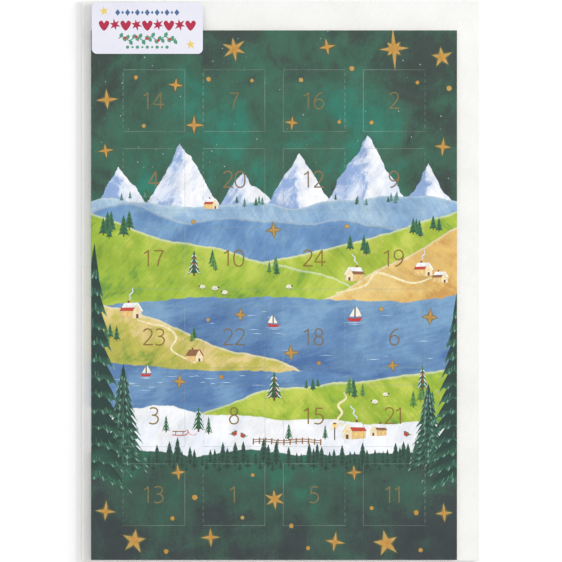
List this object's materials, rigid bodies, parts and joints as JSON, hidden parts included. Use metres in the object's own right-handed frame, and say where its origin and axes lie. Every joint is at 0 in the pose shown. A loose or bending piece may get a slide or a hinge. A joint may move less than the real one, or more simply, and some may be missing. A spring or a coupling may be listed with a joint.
{
  "type": "advent calendar card",
  "caption": "Folded advent calendar card with small numbered die-cut doors over a hidden picture sheet, lying on its plain envelope.",
  "frame": {"origin": "on the table, under the middle of the envelope", "axes": "+Y towards the top of the print, +Z out of the card's face, +X to the reader's right"},
  "size_m": [0.125, 0.176, 0.0032],
  "materials": {
    "envelope_paper": "matt uncoated off-white",
    "card_print": "satin painted print, mainly dark green, on white board",
    "card_board": "matt uncoated white board",
    "picture_print": "matt printed paper",
    "label_paper": "semi-gloss pale sticker paper"
  },
  "bodies": {
    "envelope": {"envelope_front": "envelope_paper", "envelope_tab_top": "envelope_paper", "envelope_tab_bottom": "envelope_paper", "envelope_back": "envelope_paper"},
    "envelope_flap": {"envelope_flap": "envelope_paper"},
    "card_back": {"card_back": "card_board"},
    "card_front": {"front_panel": "card_print", "picture_sheet": "picture_print", "label": "label_paper"},
    "door_14": {"door_14": "card_print"},
    "door_07": {"door_07": "card_print"},
    "door_16": {"door_16": "card_print"},
    "door_02": {"door_02": "card_print"},
    "door_04": {"door_04": "card_print"},
    "door_20": {"door_20": "card_print"},
    "door_12": {"door_12": "card_print"},
    "door_09": {"door_09": "card_print"},
    "door_17": {"door_17": "card_print"},
    "door_10": {"door_10": "card_print"},
    "door_24": {"door_24": "card_print"},
    "door_19": {"door_19": "card_print"},
    "door_23": {"door_23": "card_print"},
    "door_22": {"door_22": "card_print"},
    "door_18": {"door_18": "card_print"},
    "door_06": {"door_06": "card_print"},
    "door_03": {"door_03": "card_print"},
    "door_08": {"door_08": "card_print"},
    "door_15": {"door_15": "card_print"},
    "door_21": {"door_21": "card_print"},
    "door_13": {"door_13": "card_print"},
    "door_01": {"door_01": "card_print"},
    "door_05": {"door_05": "card_print"},
    "door_11": {"door_11": "card_print"}
  },
  "joints": [
    {"name": "flap_crease", "type": "hinge", "parent": "envelope", "child": "envelope_flap", "pos_m": [0.0625, 0, 0.00064], "axis": [0, -1, 0], "range_deg": [0, 180]},
    {"name": "card_lift", "type": "slide", "parent": "envelope", "child": "card_back", "axis": [0, 0, 1], "range_m": [0, 0.04]},
    {"name": "card_fold", "type": "hinge", "parent": "card_back", "child": "card_front", "pos_m": [-0.05955, -0.00445, 0.00258], "axis": [0, -1, 0], "range_deg": [0, 170]},
    {"name": "crease_14", "type": "hinge", "parent": "card_front", "child": "door_14", "pos_m": [-0.0495, 0.0567, 0.00288], "axis": [0, -1, 0], "range_deg": [0, 170]},
    {"name": "crease_07", "type": "hinge", "parent": "card_front", "child": "door_07", "pos_m": [-0.02433, 0.0567, 0.00288], "axis": [0, -1, 0], "range_deg": [0, 170]},
    {"name": "crease_16", "type": "hinge", "parent": "card_front", "child": "door_16", "pos_m": [0.02023, 0.0567, 0.00288], "axis": [0, 1, 0], "range_deg": [0, 170]},
    {"name": "crease_02", "type": "hinge", "parent": "card_front", "child": "door_02", "pos_m": [0.0454, 0.0567, 0.00288], "axis": [0, 1, 0], "range_deg": [0, 170]},
    {"name": "crease_04", "type": "hinge", "parent": "card_front", "child": "door_04", "pos_m": [-0.0495, 0.03193, 0.00288], "axis": [0, -1, 0], "range_deg": [0, 170]},
    {"name": "crease_20", "type": "hinge", "parent": "card_front", "child": "door_20", "pos_m": [-0.02433, 0.03193, 0.00288], "axis": [0, -1, 0], "range_deg": [0, 170]},
    {"name": "crease_12", "type": "hinge", "parent": "card_front", "child": "door_12", "pos_m": [0.02023, 0.03193, 0.00288], "axis": [0, 1, 0], "range_deg": [0, 170]},
    {"name": "crease_09", "type": "hinge", "parent": "card_front", "child": "door_09", "pos_m": [0.0454, 0.03193, 0.00288], "axis": [0, 1, 0], "range_deg": [0, 170]},
    {"name": "crease_17", "type": "hinge", "parent": "card_front", "child": "door_17", "pos_m": [-0.0495, 0.00716, 0.00288], "axis": [0, -1, 0], "range_deg": [0, 170]},
    {"name": "crease_10", "type": "hinge", "parent": "card_front", "child": "door_10", "pos_m": [-0.02433, 0.00716, 0.00288], "axis": [0, -1, 0], "range_deg": [0, 170]},
    {"name": "crease_24", "type": "hinge", "parent": "card_front", "child": "door_24", "pos_m": [0.02023, 0.00716, 0.00288], "axis": [0, 1, 0], "range_deg": [0, 170]},
    {"name": "crease_19", "type": "hinge", "parent": "card_front", "child": "door_19", "pos_m": [0.0454, 0.00716, 0.00288], "axis": [0, 1, 0], "range_deg": [0, 170]},
    {"name": "crease_23", "type": "hinge", "parent": "card_front", "child": "door_23", "pos_m": [-0.0495, -0.01761, 0.00288], "axis": [0, -1, 0], "range_deg": [0, 170]},
    {"name": "crease_22", "type": "hinge", "parent": "card_front", "child": "door_22", "pos_m": [-0.02433, -0.01761, 0.00288], "axis": [0, -1, 0], "range_deg": [0, 170]},
    {"name": "crease_18", "type": "hinge", "parent": "card_front", "child": "door_18", "pos_m": [0.02023, -0.01761, 0.00288], "axis": [0, 1, 0], "range_deg": [0, 170]},
    {"name": "crease_06", "type": "hinge", "parent": "card_front", "child": "door_06", "pos_m": [0.0454, -0.01761, 0.00288], "axis": [0, 1, 0], "range_deg": [0, 170]},
    {"name": "crease_03", "type": "hinge", "parent": "card_front", "child": "door_03", "pos_m": [-0.0495, -0.04238, 0.00288], "axis": [0, -1, 0], "range_deg": [0, 170]},
    {"name": "crease_08", "type": "hinge", "parent": "card_front", "child": "door_08", "pos_m": [-0.02433, -0.04238, 0.00288], "axis": [0, -1, 0], "range_deg": [0, 170]},
    {"name": "crease_15", "type": "hinge", "parent": "card_front", "child": "door_15", "pos_m": [0.02023, -0.04238, 0.00288], "axis": [0, 1, 0], "range_deg": [0, 170]},
    {"name": "crease_21", "type": "hinge", "parent": "card_front", "child": "door_21", "pos_m": [0.0454, -0.04238, 0.00288], "axis": [0, 1, 0], "range_deg": [0, 170]},
    {"name": "crease_13", "type": "hinge", "parent": "card_front", "child": "door_13", "pos_m": [-0.0495, -0.06715, 0.00288], "axis": [0, -1, 0], "range_deg": [0, 170]},
    {"name": "crease_01", "type": "hinge", "parent": "card_front", "child": "door_01", "pos_m": [-0.02433, -0.06715, 0.00288], "axis": [0, -1, 0], "range_deg": [0, 170]},
    {"name": "crease_05", "type": "hinge", "parent": "card_front", "child": "door_05", "pos_m": [0.02023, -0.06715, 0.00288], "axis": [0, 1, 0], "range_deg": [0, 170]},
    {"name": "crease_11", "type": "hinge", "parent": "card_front", "child": "door_11", "pos_m": [0.0454, -0.06715, 0.00288], "axis": [0, 1, 0], "range_deg": [0, 170]}
  ]
}
